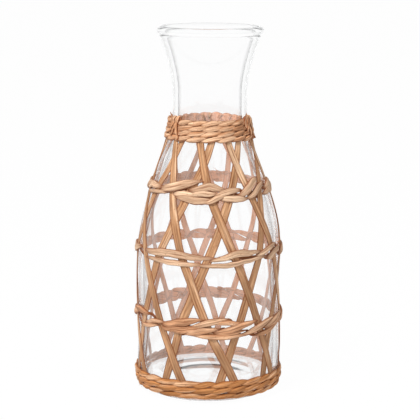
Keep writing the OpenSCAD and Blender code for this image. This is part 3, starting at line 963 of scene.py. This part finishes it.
def floor_finish():
    """White paper that takes the carafe's soft shadow, and shows as plain white to the camera
    and through the glass."""
    finish = Finish(bpy.data.materials.new("white_paper"))
    paper = finish.add("BsdfDiffuse", None, {"Color": (0.86, 0.86, 0.86)})
    glow = finish.add("Emission", None, {"Color": (1.0, 1.0, 1.0), "Strength": 1.0})
    brightening = finish.seen_directly() * 0.98
    either = finish.add("MixShader", None, {0: brightening, 1: paper, 2: glow})
    finish.add("OutputMaterial", None, {"Surface": either})
    return finish.owner


def fibre(zone):
    """The fibre material of a zone, made when it is first asked for."""
    if zone not in FIBRES:
        shade = getattr(bpy.context.scene.carafe_colours, zone)
        FIBRES[zone] = fibre_finish("dry_leaf_" + zone, shade, len(FIBRES) + 1)
    return FIBRES[zone]


class CARAFE_OT_glass(bpy.types.Operator):
    """Turns the half section of the blown glass round its axis"""

    bl_idname = "carafe.glass"
    bl_label = "Glass carafe"

    def execute(self, context):
        glass = context.scene.carafe_glass
        rows = OUTLINE.loop()
        turn = np.linspace(0, 2 * math.pi, 320, endpoint=False)
        height = np.broadcast_to(rows[:, 1:], (len(rows), len(turn)))
        rings = np.stack([rows[:, :1] * np.cos(turn), rows[:, :1] * np.sin(turn), height], -1)
        inside = np.arange(len(rows)) > rows[:, 1].argmax()
        well_top = glass.floor + OUTLINE.INNER_CORNER_SHARE * glass.heel_height
        upright = np.clip((rows[:, 1] - well_top) / glass.heel_height, 0, 1)
        # The inner wall's mark is where the glass material paints its grey edge line
        marks = {"inner_side": inside * upright, "upright": upright}
        marks = {mark: np.broadcast_to(row[:, None], height.shape) for mark, row in marks.items()}
        crown = glass.floor + OUTLINE.FLOOR_CROWN_SHARE * glass.punt
        piece = closed_skin("glass_vessel", rings, (0, 0, glass.punt), (0, 0, crown), None, marks)
        dressed(piece, glass_finish(glass.haze), ["glass_carafe"])
        return {"FINISHED"}


class CARAFE_OT_stakes(bpy.types.Operator):
    """Lays the two crossing layers of flat stakes"""

    bl_idname = "carafe.stakes"
    bl_label = "Stakes"

    def execute(self, context):
        finish = fibre("stake")
        for number in range(1, STAKES_PER_LAYER + 1):
            stake_piece(f"outer_stake_{number}", 100 + 10 * number, finish)
            stake_piece(f"inner_stake_{number}", 300 + 10 * number, finish)
        return {"FINISHED"}


class CARAFE_OT_collar(bpy.types.Operator):
    """Twines the four rows of the collar"""

    bl_idname = "carafe.collar"
    bl_label = "Collar"

    def execute(self, context):
        for row in range(1, COLLAR_ROWS + 1):
            twined_row("collar", row, COLLAR_FRONT, COLLAR_PASSES, COLLAR_TWINED, 500)
        return {"FINISHED"}


class CARAFE_OT_foot_band(bpy.types.Operator):
    """Twines the three rows of the foot band"""

    bl_idname = "carafe.foot_band"
    bl_label = "Foot band"

    def execute(self, context):
        for row, front in enumerate(FOOT_FRONT, 1):
            twined_row("foot", row, front, FOOT_PASSES, FOOT_TWINED, 700)
        return {"FINISHED"}


class CARAFE_OT_open_bands(bpy.types.Operator):
    """Weaves the shoulder, waist and lower bands"""

    bl_idname = "carafe.open_bands"
    bl_label = "Open bands"

    def execute(self, context):
        for band in OPEN_BANDS:
            open_band(band)
        return {"FINISHED"}


class CARAFE_OT_lashings(bpy.types.Operator):
    """Hooks the short strands over the collar"""

    bl_idname = "carafe.lashings"
    bl_label = "Collar lashings"

    def execute(self, context):
        for number in range(1, LASHINGS + 1):
            lashing(number)
        return {"FINISHED"}


class CARAFE_OT_loose_fibres(bpy.types.Operator):
    """Adds the few thin fibres that stand off the bands"""

    bl_idname = "carafe.loose_fibres"
    bl_label = "Loose fibres"

    def execute(self, context):
        radius = context.scene.carafe_fibre.hair
        hairs = [
            hair_strip(f"hair_{number}", place, radius, 1000 + number)
            for number, place in enumerate(LOOSE_FIBRES)
        ]
        dressed(joined("loose_fibres", hairs), fibre("lower"), [])
        return {"FINISHED"}


class CARAFE_OT_studio(bpy.types.Operator):
    """Sets the white floor, the soft lamps and the camera"""

    bl_idname = "carafe.studio"
    bl_label = "Studio"

    FLOOR_RADIUS = 30
    FLOOR_DROP = 0.1 * MM
    KEY_SIZE = 0.45
    KEY_PLACE = (-0.55, -0.85, 1.45)
    FILL_SIZE = 0.9
    FILL_PLACE = (1.1, -0.7, 0.7)
    LIT_HEIGHT = 0.12

    def execute(self, context):
        studio = context.scene.carafe_studio
        bpy.ops.mesh.primitive_circle_add(vertices=96, radius=self.FLOOR_RADIUS, fill_type="NGON")
        floor = context.object
        floor.name = "studio_floor"
        floor.location.z = -self.FLOOR_DROP
        floor.data.materials.append(floor_finish())
        self.lamp("key_lamp", studio.key, self.KEY_SIZE, self.KEY_PLACE)
        self.lamp("fill_lamp", studio.fill, self.FILL_SIZE, self.FILL_PLACE)
        self.sky(context.scene, studio.sky)
        self.camera(context.scene, studio)
        return {"FINISHED"}

    def lamp(self, name, watts, size, place):
        """A square soft lamp that looks at the middle of the carafe."""
        light = bpy.data.lights.new(name, "AREA")
        light.energy, light.size = watts, size
        lamp = bpy.data.objects.new(name, light)
        lamp.location = place
        lamp.visible_glossy = False
        lamp.visible_transmission = False
        aim = Vector((0, 0, self.LIT_HEIGHT)) - lamp.location
        lamp.rotation_euler = aim.to_track_quat("-Z", "Y").to_euler()
        bpy.context.scene.collection.objects.link(lamp)

    def sky(self, scene, strength):
        """Even light from all round, which the camera, mirrors and glass see as white."""
        scene.world = bpy.data.worlds.new("studio_sky")
        sky = Finish(scene.world)
        light = (1.0, 1.0, 1.0)
        plain = sky.add("Background", None, {"Color": light, "Strength": strength})
        white = sky.add("Background", None, {"Color": light, "Strength": 1.0})
        either = sky.add("MixShader", None, {0: sky.seen_directly(), 1: plain, 2: white})
        sky.add("OutputWorld", None, {"Surface": either})

    def camera(self, scene, studio):
        """The camera in front, looking down and a little rolled."""
        data = bpy.data.cameras.new("photo_camera")
        data.lens, data.sensor_width = studio.lens, 36
        data.clip_start, data.clip_end = 0.01, 100
        camera = bpy.data.objects.new("photo_camera", data)
        upright = Matrix.Rotation(math.radians(90 - studio.tilt), 4, "X")
        rolled = Matrix.Rotation(math.radians(studio.roll), 4, "Z")
        place = Matrix.Translation((studio.side_step, -studio.distance, studio.camera_height))
        camera.matrix_world = place @ upright @ rolled
        scene.collection.objects.link(camera)
        scene.camera = camera


OPERATORS = (
    CARAFE_OT_glass,
    CARAFE_OT_stakes,
    CARAFE_OT_collar,
    CARAFE_OT_open_bands,
    CARAFE_OT_foot_band,
    CARAFE_OT_lashings,
    CARAFE_OT_loose_fibres,
    CARAFE_OT_studio,
)


class CARAFE_PT_builder(bpy.types.Panel):
    """Lists the steps that build the carafe"""

    bl_idname = "CARAFE_PT_builder"
    bl_label = "Carafe"
    bl_space_type = "VIEW_3D"
    bl_region_type = "UI"
    bl_category = "Carafe"

    def draw(self, context):
        for operator in OPERATORS:
            self.layout.operator(operator.bl_idname)


def register():
    for group in GROUPS.values():
        bpy.utils.register_class(group)
    for name, group in GROUPS.items():
        setattr(bpy.types.Scene, name, bpy.props.PointerProperty(type=group))
    for each in (*OPERATORS, CARAFE_PT_builder):
        bpy.utils.register_class(each)


def unregister():
    for each in reversed((*OPERATORS, CARAFE_PT_builder)):
        bpy.utils.unregister_class(each)
    for name in GROUPS:
        delattr(bpy.types.Scene, name)
    for group in reversed(list(GROUPS.values())):
        bpy.utils.unregister_class(group)


def main():
    global OUTLINE
    register()
    scene = bpy.context.scene
    scene.view_settings.view_transform = "Standard"
    OUTLINE = Outline(scene.carafe_glass)
    for operator in OPERATORS:
        group, name = operator.bl_idname.split(".")
        getattr(getattr(bpy.ops, group), name)()


if __name__ == "__main__":
    main()
